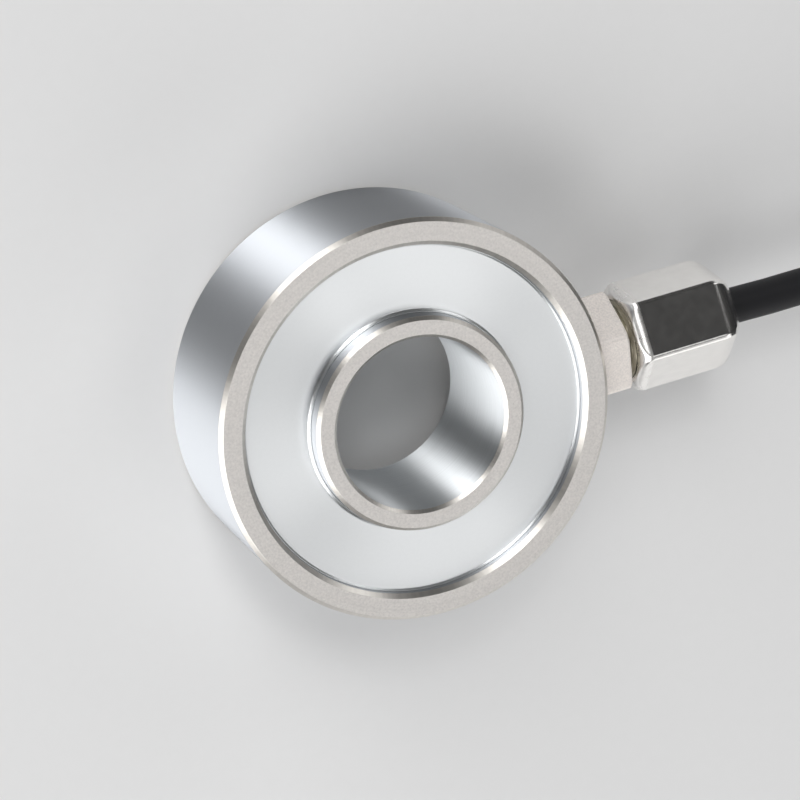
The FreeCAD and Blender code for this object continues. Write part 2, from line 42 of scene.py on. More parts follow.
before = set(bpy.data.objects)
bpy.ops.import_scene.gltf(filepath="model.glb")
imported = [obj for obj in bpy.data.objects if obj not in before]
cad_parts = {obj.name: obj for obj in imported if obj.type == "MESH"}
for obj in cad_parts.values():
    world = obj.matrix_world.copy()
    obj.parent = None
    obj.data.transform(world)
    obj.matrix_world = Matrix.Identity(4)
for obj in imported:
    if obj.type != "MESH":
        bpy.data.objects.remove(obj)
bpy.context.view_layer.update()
MM = 0.001
BODY = "root"
FULL_TURN = 2 * math.pi
QUARTER = 0.25

# Places of the packed solids that the surfaces are built around
RING_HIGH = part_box("ring_body")[1]
NUT_LOW, NUT_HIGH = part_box("gland_nut")
GASKET_LOW, GASKET_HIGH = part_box("gland_gasket")
BODY_LOW, BODY_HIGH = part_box("gland_body")
FINGER_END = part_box("clamp_insert")[1].x
COIL_LOW, COIL_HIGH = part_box("cable_coil")
COIL_CENTRE = (COIL_LOW + COIL_HIGH) / 2
PORT_HEIGHT = (GASKET_LOW.z + GASKET_HIGH.z) / 2

# Gap left between pieces that fit into each other
FIT_GAP = 0.05 * MM

# Insulation colours of the cable's four cores
CORES = {"red": "#B3261E", "black": "#202022", "green": "#2E7D46", "white": "#E9E7E1"}

# Columns of turns in the coil, and the part of a turn that leads from one to the next
COIL_COLUMNS = 3
COLUMN_SHIFT = 0.25

# Angles in degrees from the middle of a flat to its corner, close together where the flat meets the corner
HALF_FLAT = (0, 3, 6, 9, 12, 15, 18, 21, 24, 26.5, 27.0, 27.4, 27.9, 28.7, 30)
SIDES = 6


def length(name, description, millimetres):
    """A length that a user may change, given in millimetres and kept in metres."""
    return FloatProperty(
        name=name, description=description, default=millimetres * MM, min=0.0, precision=5, unit="LENGTH"
    )


def linear(hex_colour):
    """The linear colour of an sRGB hex value: c / 12.92 near black, and ((c + 0.055) / 1.055)^2.4 above."""
    channels = np.array([int(hex_colour[i:i + 2], 16) for i in (1, 3, 5)]) / 255
    low = channels / 12.92
    high = ((channels + 0.055) / 1.055) ** 2.4
    return (*np.where(channels <= 0.04045, low, high).tolist(), 1.0)


def colour(name, description, hex_colour):
    """A colour that a user may change, given as an sRGB hex value and kept linear."""
    return FloatVectorProperty(
        name=name,
        description=description,
        default=linear(hex_colour),
        size=4,
        min=0.0,
        max=1.0,
        subtype="COLOR",
    )


class RingSizes(bpy.types.PropertyGroup):
    """Sizes of the turned ring and its cover."""

    rim_chamfer: length("Rim chamfer", "Chamfer on the rim's outer edges", 0.55)
    rim_height: length("Rim height", "From the foot to the rim's top face", 22.1)
    recess_radius: length("Recess radius", "Inner wall of the rim above the cover", 24.25)
    recess_depth: length("Recess depth", "From the rim's top face down to the cover", 1.65)
    recess_chamfer: length("Recess chamfer", "Chamfer on the rim's inner edge", 0.6)
    collar_radius: length("Collar radius", "Outer wall of the raised load collar", 14.9)
    collar_chamfer: length("Collar chamfer", "Chamfer on the collar's outer edge", 0.5)
    bore_radius: length("Bore radius", "Wall of the through bore", 12.0)
    bore_chamfer: length("Bore chamfer", "Chamfer at both ends of the bore", 0.45)
    web_underside: length("Web underside", "Height of the web's lower face above the foot", 2.8)
    web_thickness: length("Web thickness", "Thickness of the sensing web", 5.0)
    foot_width: length("Foot width", "Width of the rim's foot", 5.0)
    cover_thickness: length("Cover thickness", "Thickness of the gauge cover", 1.2)
    collar_ledge: length("Collar ledge", "Ledge that carries the cover's inner edge", 0.85)
    rim_ledge: length("Rim ledge", "Ledge that carries the cover's outer edge", 1.35)
    edge_break: length("Edge break", "Radius left on the turned edges", 0.08)
    collar_weld: length("Collar weld", "Leg of the weld along the collar", 0.46)
    rim_weld: length("Rim weld", "Leg of the weld along the rim", 0.31)
    segments: IntProperty(name="Segments", description="Divisions around ring and cover", default=360, min=64)


class GlandSizes(bpy.types.PropertyGroup):
    """Sizes of the gland body, its gasket and the dome nut."""

    across_flats: length("Across flats", "Width of both hexagons across their flats", 14.0)
    hex_corner: length("Hexagon corner", "Turned radius of the body's corners", 7.95)
    hex_chamfer: length("Hexagon chamfer", "Chamfer on the body's corners", 0.3)
    hex_length: length("Hexagon length", "Length of the body's hexagon", 4.85)
    spigot_radius: length("Spigot radius", "Spigot in the rim's port", 5.0)
    neck_radius: length("Neck radius", "Threaded neck below the nut", 5.8)
    thread_pitch: length("Thread pitch", "Pitch of the neck's thread", 1.0)
    thread_depth: length("Thread depth", "Depth of the neck's thread", 0.45)
    bore_radius: length("Bore radius", "Cable bore of the body", 2.8)
    pocket_radius: length("Pocket radius", "Pocket for the clamp insert", 4.6)
    pocket_depth: length("Pocket depth", "Depth of that pocket", 6.0)
    nut_corner: length("Nut corner", "Turned radius of the nut's corners", 7.9)
    shoulder_length: length("Shoulder length", "Rounded shoulder of the nut, along the axis", 1.6)
    shoulder_radius: length("Shoulder radius", "Round end of the nut below its shoulder", 6.4)
    dome_length: length("Dome length", "Dome of the nut, along the axis", 4.1)
    dome_setback: length("Dome set-back", "From the dome's end to the end of its solid", 0.9)
    mouth_radius: length("Mouth radius", "Hole for the cable in the nut", 2.75)
    mouth_wall: length("Mouth wall", "Flat lip around that hole", 0.25)
    edge_break: length("Edge break", "Radius left on the milled edges", 0.12)
    hex_turn: FloatProperty(
        name="Hexagon turn",
        description="Angle of the nut's upper flat from straight up",
        default=math.radians(20.2),
        unit="ROTATION",
    )


class CableSizes(bpy.types.PropertyGroup):
    """Sizes of the cable and its coil."""

    diameter: length("Cable diameter", "Across the jacket", 5.2)
    total: length("Cable length", "Whole length from the nut to the far end", 2000.0)
    outer_radius: length("Coil radius", "Outer column of turns", 35.0)
    tie_lift: length("Tie lift", "Rise of the turns over the tie's strap", 1.35)
    tie_width: length("Tie width", "Width of the tie's strap", 3.6)
    tie_thickness: length("Tie thickness", "Thickness of the tie's strap", 1.15)
    tie_head: length("Tie head", "Length of the tie's locking head", 5.0)
    tie_turn: FloatProperty(
        name="Tie place", description="Turns back from the Y axis to the tie", default=0.625
    )
    tie_spread: FloatProperty(
        name="Tie spread", description="Turns over which the coil rises to the tie", default=0.08
    )
    rising_turns: FloatProperty(
        name="Turns", description="Turns in one column of the coil", default=3.125, min=1.0
    )


class FinishColours(bpy.types.PropertyGroup):
    """Colours of the finishes."""

    wall: colour("Turned steel", "Turned walls of the ring", "#C9CCD0")
    face: colour("Ground steel", "Ground top faces of rim and collar", "#E9E5E1")
    edge: colour("Broken edges", "Chamfers of the ring", "#DCD8D2")
    bore: colour("Honed steel", "Wall of the through bore", "#E8EBED")
    cover: colour("Cover sheet", "Rolled sheet of the gauge cover", "#E9EBEC")
    nickel: colour("Nickel plating", "Dome nut", "#FCFAF7")
    blasted: colour("Blasted plating", "Hexagon of the gland body", "#F8F2ED")
    jacket: colour("Cable jacket", "Soft black jacket of the cable", "#161619")
    floor: colour("Floor", "Pale floor below the object", "#E0E0E0")


def node(tree, kind, inputs=None, **settings):
    """Add a node with its settings. An input is linked where its value is a socket, and set otherwise."""
    made = tree.nodes.new(kind)
    for name, value in settings.items():
        setattr(made, name, value)
    for name, value in (inputs or {}).items():
        if isinstance(value, bpy.types.NodeSocket):
            tree.links.new(value, made.inputs[name])
        else:
            made.inputs[name].default_value = value
    return made


def new_material(name):
    """An empty node material. Returns the material and its tree."""
    material = bpy.data.materials.new(name)
    material.use_nodes = True
    material.node_tree.nodes.clear()
    return material, material.node_tree


def rounded_outline(rows, steps=5, margin=0.03 * MM):
    """A closed outline whose corners are arcs, with one more point on the side next to each arc.

    A row holds a corner's two places and its radius. With unit vectors a and b to its neighbours and half
    their angle h, the arc of radius r touches the sides at r / tan h from the corner and turns about a centre
    r / sin h along a + b. The extra points lie a margin past the two touching points, so that shading stays
    flat on the sides.
    """
    rows = np.asarray(rows, dtype=float)
    corners, radii = rows[:, :2], rows[:, 2:]
    a = np.roll(corners, 1, axis=0) - corners
    b = np.roll(corners, -1, axis=0) - corners
    a /= np.linalg.norm(a, axis=1, keepdims=True)
    b /= np.linalg.norm(b, axis=1, keepdims=True)
    half = np.arccos(np.clip((a * b).sum(axis=1, keepdims=True), -1, 1)) / 2
    along = (a + b) / np.linalg.norm(a + b, axis=1, keepdims=True)
    centre = corners + along * radii / np.sin(half)
    first = corners + a * radii / np.tan(half)
    last = corners + b * radii / np.tan(half)
    sweep = (np.pi - 2 * half)[:, :, None]
    t = np.linspace(0, 1, steps)[None, :, None]
    arc = np.sin((1 - t) * sweep) * (first - centre)[:, None] + np.sin(t * sweep) * (last - centre)[:, None]
    arc = centre[:, None] + arc / np.sin(sweep)
    run = np.concatenate([(first + a * margin)[:, None], arc, (last + b * margin)[:, None]], axis=1)
    return run.reshape(-1, 2)


def closed_mesh(name, points, materials, zones=None):
    """Quads over a grid of points that closes in both directions, with a UV map in metres.

    U is the distance along a row at its mean length, and V is the distance along the outline, both summed
    from the steps between neighbouring points. Each quad spans a volume with the origin, and where their sum
    is negative, all faces are turned round. Zones give the number of each row's material.
    """
    rows, columns = points.shape[:2]
    i, j = np.meshgrid(np.arange(rows), np.arange(columns), indexing="ij")
    down = (i + 1) % rows
    right = (j + 1) % columns
    corners = [i * columns + j, down * columns + j, down * columns + right, i * columns + right]
    quads = np.stack(corners, axis=-1)
    across = np.linalg.norm(np.roll(points, -1, axis=1) - points, axis=2).mean(axis=0)
    along = np.linalg.norm(np.roll(points, -1, axis=0) - points, axis=2).max(axis=1)
    u = np.concatenate([[0], np.cumsum(across)])
    v = np.concatenate([[0], np.cumsum(along)])
    steps = ((0, 0), (0, 1), (1, 1), (1, 0))
    uv = np.stack([np.stack([u[j + a], v[i + b]], axis=-1) for a, b in steps], axis=2)
    flat = points.reshape(-1, 3)
    quads = quads.reshape(-1, 4)
    uv = uv.reshape(-1, 4, 2)
    p0, p1, p2, p3 = (flat[quads[:, k]] for k in range(4))
    volume = (p0 * np.cross(p1, p2)).sum() + (p0 * np.cross(p2, p3)).sum()
    if volume < 0:
        quads = quads[:, ::-1]
        uv = uv[:, ::-1]
    mesh = bpy.data.meshes.new(name)
    mesh.from_pydata(flat.tolist(), [], quads.tolist())
    layer = mesh.uv_layers.new(name="UVMap")
    layer.data.foreach_set("uv", np.ascontiguousarray(uv).ravel())
    if zones is not None:
        mesh.polygons.foreach_set("material_index", np.repeat(np.asarray(zones), columns))
    mesh.shade_smooth()
    for material in materials:
        mesh.materials.append(material)
    mesh.update()
    return mesh


def add_piece(name, data, nodes):
    """Put a piece into the scene in place of its solids."""
    piece = bpy.data.objects.new(name, data)
    bpy.context.scene.collection.objects.link(piece)
    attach(piece, BODY)
    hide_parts(*nodes)
    return piece


def turned(outline, segments):
    """An outline of (radius, height) carried round Z: x = r cos t, y = r sin t."""
    t = np.linspace(0, FULL_TURN, segments, endpoint=False)
    r, z = outline[:, :1], outline[:, 1:]
    return np.stack([r * np.cos(t), r * np.sin(t), z + 0 * t], axis=-1)


def on_gland(x, radius, angle):
    """Points about the gland's axis, from their place along it, radius and angle from straight up."""
    return np.stack([x, radius * np.sin(angle), PORT_HEIGHT + radius * np.cos(angle)], axis=-1)


def hexed(flats, corners, turn):
    """Place along the axis, radius and angle of a shell with six flats about the gland's axis.

    It takes two outlines of (x, reach), one for the flats and one for the corners. At an angle p from the
    nearest flat's middle, the flat reaches to its reach / cos p. The surface is the flat where that lies
    inside the corners' outline, and the corners' outline elsewhere.
    """
    half = np.radians(HALF_FLAT)
    sector = np.concatenate([-half[::-1], half[1:-1]])
    p = np.tile(sector, SIDES)
    angle = turn + p + np.repeat(np.arange(SIDES) * FULL_TURN / SIDES, len(sector))
    flat_radius = flats[:, 1:] / np.cos(p)
    on_flat = flat_radius < corners[:, 1:]
    x = np.where(on_flat, flats[:, :1], corners[:, :1])
    radius = np.where(on_flat, flat_radius, corners[:, 1:])
    return x, radius, angle + 0 * radius


def rounded_end(run, drop, sweep, steps):
    """Rows of (run, drop) along part of an ellipse that leaves a side level and turns by a sweep.

    At an angle t it has run by sin t and dropped by 1 - cos t, each scaled to its whole size at the sweep.
    """
    t = np.linspace(0, sweep, steps)
    ahead = run * np.sin(t) / math.sin(sweep)
    down = drop * (1 - np.cos(t)) / (1 - math.cos(sweep))
    return np.stack([ahead, down], axis=1)


def sharpened(mesh, angle=30.0):
    """Keep edges sharper than an angle in degrees as edges, shade the rest as smooth, and return the mesh."""
    mesh.set_sharp_from_angle(angle=math.radians(angle))
    return mesh


def cut_rods(piece, rods):
    """Cut round bars about the gland's axis out of a piece, each given by its start, end and radius."""
    cutters = []
    for start, end, radius in rods:
        middle = Matrix.Translation(((start + end) / 2, 0, PORT_HEIGHT))
        cutter_mesh = bmesh.new()
        bmesh.ops.create_cone(
            cutter_mesh,
            cap_ends=True,
            segments=180,
            radius1=radius,
            radius2=radius,
            depth=end - start,
            matrix=middle @ Matrix.Rotation(FULL_TURN / 4, 4, "Y"),
        )
        data = bpy.data.meshes.new("port_cutter")
        cutter_mesh.to_mesh(data)
        cutter_mesh.free()
        cutter = bpy.data.objects.new("port_cutter", data)
        bpy.context.scene.collection.objects.link(cutter)
        modifier = piece.modifiers.new("port", "BOOLEAN")
        modifier.operation = "DIFFERENCE"
        modifier.solver = "EXACT"
        modifier.object = cutter
        cutters.append(cutter)
    graph = bpy.context.evaluated_depsgraph_get()
    piece.data = bpy.data.meshes.new_from_object(piece.evaluated_get(graph))
    piece.modifiers.clear()
    for cutter in cutters:
        bpy.data.meshes.remove(cutter.data)


def line_pattern(tree, spacing, run, detail=3.0):
    """Fine lines along U: noise whose U is scaled by one over a line's run, and V by one over its spacing."""
    uv = node(tree, "ShaderNodeTexCoord").outputs["UV"]
    stretched = node(tree, "ShaderNodeMapping", {"Vector": uv, "Scale": (1 / run, 1 / spacing, 1)})
    noise = node(tree, "ShaderNodeTexNoise", {"Vector": stretched.outputs[0], "Scale": 1.0, "Detail": detail})
    return noise.outputs["Fac"]


def grain_pattern(tree, size, detail=2.0):
    """Even grain from noise on Object coordinates, scaled by one over its size in metres."""
    place = node(tree, "ShaderNodeTexCoord").outputs["Object"]
    noise = node(tree, "ShaderNodeTexNoise", {"Vector": place, "Scale": 1 / size, "Detail": detail})
    return noise.outputs["Fac"]


def surface(
    tree,
    colour_value,
    pattern,
    shading,
    roughness,
    gloss=None,
    relief=None,
    lay=0.0,
    metallic=1.0,
    specular=0.5,
):
    """Close a material's tree with a surface whose colour, roughness and relief follow a pattern.

    The pattern scales the colour by 1 - shading to 1 + shading, and leads the roughness from its least to its
    greatest value, unless the gloss has a pattern of its own. A relief of (strength, depth) raises the
    pattern. A lay above zero draws the gloss out across the tool's lines, which run along U: a quarter turn
    of the tangent lays it along V.
    """
    least, greatest = roughness
    dark, light = 1 - shading, 1 + shading
    factor = node(tree, "ShaderNodeMapRange", {"Value": pattern, "To Min": dark, "To Max": light})
    scaled = node(tree, "ShaderNodeVectorMath", {"Scale": factor.outputs[0]}, operation="SCALE")
    scaled.inputs[0].default_value = tuple(colour_value)[:3]
    leading = pattern if gloss is None else gloss
    rough = node(tree, "ShaderNodeMapRange", {"Value": leading, "To Min": least, "To Max": greatest})
    inputs = {
        "Base Color": scaled.outputs[0],
        "Metallic": metallic,
        "Specular IOR Level": specular,
        "Roughness": rough.outputs[0],
    }
    if relief:
        strength, depth = relief
        bump = node(tree, "ShaderNodeBump", {"Height": pattern, "Strength": strength, "Distance": depth})
        inputs["Normal"] = bump.outputs[0]
    if lay:
        tangent = node(tree, "ShaderNodeTangent", direction_type="UV_MAP", uv_map="UVMap")
        inputs["Anisotropic"] = lay
        inputs["Anisotropic Rotation"] = QUARTER
        inputs["Tangent"] = tangent.outputs[0]
    shader = node(tree, "ShaderNodeBsdfPrincipled", inputs)
    node(tree, "ShaderNodeOutputMaterial", {"Surface": shader.outputs[0]})


def turned_steel(colours):
    """Stainless steel, fine turned: lines round the part spread its gloss into bands along the axis.

    The lines are drawn 0.25 mm apart, coarser than a real feed of about 0.1 mm, so that they show.
    """
    material, tree = new_material("stainless_steel_fine_turned")
    lines = line_pattern(tree, spacing=0.25 * MM, run=60 * MM)
    relief = (0.10, 0.01 * MM)
    surface(tree, colours.wall, lines, shading=0.04, roughness=(0.49, 0.61), relief=relief, lay=1.0)
    return material


def ground_steel(colours):
    """Stainless steel, ground flat: a dull even grain with a trace of the tool's circles below it.

    Grain and circles are drawn about 0.3 mm wide, coarser than the real grit, so that they show.
    """
    material, tree = new_material("stainless_steel_ground_face")
    grain = grain_pattern(tree, size=0.3 * MM, detail=4.0)
    circles = line_pattern(tree, spacing=0.35 * MM, run=40 * MM)
    both = node(tree, "ShaderNodeMix", {"Factor": 0.25, "A": grain, "B": circles}).outputs[0]
    relief = (0.4, 0.02 * MM)
    surface(tree, colours.face, both, shading=0.3, roughness=(0.34, 0.50), gloss=grain, relief=relief)
    return material


def edge_steel(colours):
    """Stainless steel, chamfered edge: brighter than the walls, with the cutter's chatter across it."""
    material, tree = new_material("stainless_steel_chamfered_edge")
    chatter = line_pattern(tree, spacing=20 * MM, run=0.4 * MM, detail=0.0)
    surface(tree, colours.edge, chatter, shading=0.1, roughness=(0.29, 0.33))
    return material


def bore_steel(colours):
    """Stainless steel, honed bore: plainer lines than on the outside, with the same bands along the axis.

    The lines are drawn 0.35 mm apart, coarser than real honing, so that they show.
    """
    material, tree = new_material("stainless_steel_honed_bore")
    lines = line_pattern(tree, spacing=0.35 * MM, run=25 * MM)
    relief = (0.2, 0.015 * MM)
    surface(tree, colours.bore, lines, shading=0.08, roughness=(0.47, 0.63), relief=relief, lay=1.0)
    return material


def cover_steel(colours):
    """Stainless sheet, rolled bright and left smooth: a soft satin sheen with hardly any grain."""
    material, tree = new_material("stainless_sheet_bright_rolled")
    grain = grain_pattern(tree, size=0.5 * MM)
    surface(tree, colours.cover, grain, shading=0.02, roughness=(0.27, 0.33), lay=0.8)
    return material


def nickel_plating(colours, name, roughness):
    """Brass, cut and nickel plated: warm bright metal with a soft mottle left by the plating."""
    material, tree = new_material(name)
    mottle = grain_pattern(tree, size=1.2 * MM, detail=3.0)
    surface(tree, colours.nickel, mottle, shading=0.08, roughness=roughness, relief=(0.05, 0.01 * MM))
    return material


def blasted_nickel(colours):
    """Brass, blasted and nickel plated: a warm, dull grain that sparkles in single points.

    The grain is drawn 0.25 mm wide, coarser than the real one, so that it shows.
    """
    material, tree = new_material("brass_blasted_nickel_plated")
    grain = grain_pattern(tree, size=0.25 * MM, detail=4.0)
    surface(tree, colours.blasted, grain, shading=0.22, roughness=(0.45, 0.75), relief=(0.5, 0.03 * MM))
    return material


def plain_finish(name, colour_value, roughness, grain_size, metallic=0.0, shading=0.06, specular=0.5):
    """A moulded, drawn or coated finish: its colour and gloss vary a little with an even grain.

    The roughness varies by a spread either way, and the relief is a twentieth of the grain's size.
    """
    material, tree = new_material(name)
    grain = grain_pattern(tree, grain_size)
    spread = 0.06
    surface(
        tree,
        colour_value,
        grain,
        shading=shading,
        roughness=(roughness - spread, roughness + spread),
        relief=(0.1, grain_size / 20),
        metallic=metallic,
        specular=specular,
    )
    return material


class LOADCELL_OT_ring(bpy.types.Operator):
    """Turned ring: the outline of rim, groove, collar, bore and web carried round Z, with the port cut"""

    bl_idname = "loadcell.ring"
    bl_label = "Turned ring"

    def execute(self, context):
        sizes = context.scene.loadcell_ring
        gland = context.scene.loadcell_gland
        colours = context.scene.loadcell_colours
        outer = RING_HIGH.x
        top = RING_HIGH.z
        ledge = sizes.rim_height - sizes.recess_depth - sizes.cover_thickness
        web_top = sizes.web_underside + sizes.web_thickness
        groove_inner = sizes.collar_radius + sizes.collar_ledge
        groove_outer = sizes.recess_radius - sizes.rim_ledge
        foot = outer - sizes.foot_width
        foot_chamfer = 0.4 * MM
        root = 0.4 * MM
        edge = sizes.edge_break
        wall, face, bore, chamfer = 0, 1, 2, 3
        # Radius and height of each corner, its round, and the finish of the run that follows it
        outline = [
            (outer - sizes.rim_chamfer, 0, edge, chamfer),
            (outer, sizes.rim_chamfer, edge, wall),
            (outer, sizes.rim_height - sizes.rim_chamfer, edge, chamfer),
            (outer - sizes.rim_chamfer, sizes.rim_height, edge, face),
            (sizes.recess_radius + sizes.recess_chamfer, sizes.rim_height, edge, chamfer),
            (sizes.recess_radius, sizes.rim_height - sizes.recess_chamfer, edge, wall),
            (sizes.recess_radius, ledge, edge, face),
            (groove_outer, ledge, edge, wall),
            (groove_outer, web_top, root, face),
            (groove_inner, web_top, root, wall),
            (groove_inner, ledge, edge, face),
            (sizes.collar_radius, ledge, edge, wall),
            (sizes.collar_radius, top - sizes.collar_chamfer, edge, chamfer),
            (sizes.collar_radius - sizes.collar_chamfer, top, edge, face),
            (sizes.bore_radius + sizes.bore_chamfer, top, edge, chamfer),
            (sizes.bore_radius, top - sizes.bore_chamfer, edge, bore),
            (sizes.bore_radius, sizes.web_underside + sizes.bore_chamfer, edge, chamfer),
            (sizes.bore_radius + sizes.bore_chamfer, sizes.web_underside, edge, face),
            (foot, sizes.web_underside, root, wall),
            (foot, foot_chamfer, edge, chamfer),
            (foot + foot_chamfer, 0, edge, face),
        ]
        ahead = np.array([row[3] for row in outline])
        behind = np.roll(ahead, 1)
        # Of a corner's seven rows, the first three lie before the middle of its arc
        zones = np.stack([behind] * 3 + [ahead] * 4, axis=1).ravel()
        finishes = [turned_steel(colours), ground_steel(colours), bore_steel(colours), edge_steel(colours)]
        points = turned(rounded_outline([row[:3] for row in outline]), sizes.segments)
        mesh = closed_mesh("turned_ring", points, finishes, zones)
        ring = add_piece("turned_ring", mesh, ["ring_body"])
        spot_margin = 0.25 * MM
        spot_radius = gland.across_flats / math.sqrt(3) + spot_margin
        port_radius = gland.spigot_radius + FIT_GAP
        port_start = (groove_inner + groove_outer) / 2
        past = outer + MM
        cut_rods(ring, [(port_start, past, port_radius), (GASKET_LOW.x, past, spot_radius)])
        sharpened(ring.data)
        return {"FINISHED"}


class LOADCELL_OT_cover(bpy.types.Operator):
    """Gauge cover: a flat annulus with a concave weld up the wall at each edge, carried round Z"""

    bl_idname = "loadcell.cover"
    bl_label = "Gauge cover"

    def execute(self, context):
        sizes = context.scene.loadcell_ring
        colours = context.scene.loadcell_colours
        top = sizes.rim_height - sizes.recess_depth
        low = top - sizes.cover_thickness
        land = 0.1 * MM
        tiny = 0.02 * MM
        inner = sizes.collar_radius + FIT_GAP
        outer = sizes.recess_radius - FIT_GAP
        # Radius and height of each corner, and its round
        outline = [
            (inner, low, tiny),
            (outer, low, tiny),
            (outer, top + sizes.rim_weld + tiny, tiny),
            (outer - land, top + sizes.rim_weld + tiny, tiny),
            (outer - land, top, sizes.rim_weld - 3 * tiny),
            (inner + land, top, sizes.collar_weld - 3 * tiny),
            (inner + land, top + sizes.collar_weld + tiny, tiny),
            (inner, top + sizes.collar_weld + tiny, tiny),
        ]
        points = turned(rounded_outline(outline, steps=7, margin=tiny / 2), sizes.segments)
        mesh = closed_mesh("gauge_cover_sheet", points, [cover_steel(colours)])
        add_piece("gauge_cover_sheet", sharpened(mesh, angle=40.0), ["gauge_cover"])
        return {"FINISHED"}


class LOADCELL_OT_gland(bpy.types.Operator):
    """Gland body: spigot, hexagon and threaded neck as one shell about the gland's axis, with its bore"""

    bl_idname = "loadcell.gland"
    bl_label = "Gland body"
    hex_corners = (2, 7)
    neck_corner = 8
    thread_turns = 4
    thread_rows = 48

    def groove(self, sizes, x, angle):
        """Depth of the thread: a triangle wave along the axis that moves on by one pitch a turn."""
        wave = np.abs(x / sizes.thread_pitch - angle / FULL_TURN) % 1.0
        return np.abs(2 * wave - 1) * sizes.thread_depth

    def execute(self, context):
        sizes = context.scene.loadcell_gland
        start = BODY_LOW.x
        hex_start = GASKET_HIGH.x
        hex_end = hex_start + sizes.hex_length
        neck_end = BODY_HIGH.x
        pocket_floor = neck_end - sizes.pocket_depth
        bore, spigot = sizes.bore_radius, sizes.spigot_radius
        neck, pocket = sizes.neck_radius, sizes.pocket_radius
        flat = sizes.across_flats / 2
        edge = sizes.edge_break
        tiny = 0.03 * MM
        hex_low = sizes.hex_corner - sizes.hex_chamfer
        flat_low = flat - edge / 2
        # Place along the axis of each corner, reach of the flats and of the corners there, and its round
        outline = [
            (start, bore, bore, tiny),
            (start, spigot, spigot, edge),
            (hex_start, spigot, spigot, tiny),
            (hex_start, flat_low, hex_low, edge / 2),
            (hex_start + sizes.hex_chamfer, flat, sizes.hex_corner, edge / 2),
            (hex_end - sizes.hex_chamfer, flat, sizes.hex_corner, edge / 2),
            (hex_end, flat_low, hex_low, edge / 2),
            (hex_end, neck, neck, tiny),
            (neck_end, neck, neck, edge),
            (neck_end, pocket, pocket, tiny),
            (pocket_floor, pocket, pocket, tiny),
            (pocket_floor, bore, bore, tiny),
        ]
        outline = np.array(outline)
        flats = rounded_outline(outline[:, [0, 1, 3]], margin=tiny / 2)
        corners = rounded_outline(outline[:, [0, 2, 3]], margin=tiny / 2)
        rows_per_corner = len(flats) // len(outline)
        neck_row = self.neck_corner * rows_per_corner
        thread_start = hex_end + edge
        thread_end = thread_start + self.thread_turns * sizes.thread_pitch
        thread_x = np.linspace(thread_start, thread_end, self.thread_rows)
        thread = np.stack([thread_x, np.full(self.thread_rows, neck)], axis=1)
        flats = np.insert(flats, neck_row, thread, axis=0)
        corners = np.insert(corners, neck_row, thread, axis=0)
        half_side = FULL_TURN / SIDES / 2
        x, radius, angle = hexed(flats, corners, sizes.hex_turn + half_side)
        threaded = slice(neck_row, neck_row + self.thread_rows)
        radius[threaded] -= self.groove(sizes, x[threaded] - hex_end, angle[threaded])
        colours = context.scene.loadcell_colours
        # Painted shade: the thread, spigot and bore take a dark brass colour that stands in for the shadow in
        # the gap under the nut
        painted_shade = plain_finish("brass_thread_oiled", linear("#9C9788"), 0.38, 0.2 * MM, metallic=1.0)
        finishes = [blasted_nickel(colours), painted_shade]
        plated, shaded_rows = 0, 1
        zones = np.full(len(flats), shaded_rows)
        first, last = self.hex_corners
        zones[first * rows_per_corner:last * rows_per_corner] = plated
        mesh = closed_mesh("gland_hex_body", on_gland(x, radius, angle), finishes, zones)
        add_piece("gland_hex_body", sharpened(mesh, angle=35.0), ["gland_body"])
        return {"FINISHED"}


class LOADCELL_OT_nut(bpy.types.Operator):
    """Dome nut: six flats whose outline is rounded at both ends, brought to a circle at the cable's mouth"""

    bl_idname = "loadcell.nut"
    bl_label = "Dome nut"
    shoulder_sweep = math.radians(62)
    shoulder_steps = 12
    dome_sweep = math.radians(75)
    dome_steps = 24

    def outline(self, sizes, reach):
        """Rows of (x, reach): shoulder, side, dome, lip, and back through the bored inside.

        Shoulder and dome are rounded ends of the side, one turned back along the axis and one forward.
        """
        start, end = NUT_LOW.x, NUT_HIGH.x - sizes.dome_setback
        tip = sizes.mouth_radius + sizes.mouth_wall
        tip_inside = tip - sizes.mouth_wall / 2
        margin = np.array([0.1 * MM, 0.0])
        side_start = np.array([start + sizes.shoulder_length, reach])
        side_end = np.array([end - sizes.dome_length, reach])
        drop = reach - sizes.shoulder_radius
        back = rounded_end(sizes.shoulder_length, drop, self.shoulder_sweep, self.shoulder_steps)
        ahead = rounded_end(sizes.dome_length, reach - tip, self.dome_sweep, self.dome_steps)
        room = 0.25 * MM
        insert_flange = 1.2 * MM
        taper = 0.4 * MM
        chamber_start = BODY_HIGH.x + insert_flange + room
        chamber_end = FINGER_END + room
        chamber = sizes.pocket_radius + room
        neck = sizes.neck_radius + FIT_GAP
        inside = [
            (end, tip_inside),
            (end, sizes.mouth_radius),
            (chamber_end, sizes.mouth_radius),
            (chamber_end, chamber - taper),
            (chamber_start, chamber),
            (chamber_start, neck),
            (start, neck),
        ]
        return np.concatenate(
            [
                side_start - back[::-1],
                [side_start + margin, side_end - margin],
                side_end + ahead * (1, -1),
                inside,
            ]
        )

    def execute(self, context):
        sizes = context.scene.loadcell_gland
        flats = self.outline(sizes, sizes.across_flats / 2)
        corners = self.outline(sizes, sizes.nut_corner)
        shell = on_gland(*hexed(flats, corners, sizes.hex_turn))
        colours = context.scene.loadcell_colours
        finishes = [
            nickel_plating(colours, "brass_milled_nickel_plated", roughness=(0.17, 0.22)),
            nickel_plating(colours, "brass_turned_nickel_plated", roughness=(0.25, 0.31)),
        ]
        milled, turned_end = 0, 1
        zones = np.full(len(flats), milled)
        zones[:self.shoulder_steps - 1] = turned_end
        zones[-1] = turned_end
        mesh = closed_mesh("dome_nut", shell, finishes, zones)
        add_piece("dome_nut", sharpened(mesh, angle=35.0), ["gland_nut"])
        return {"FINISHED"}


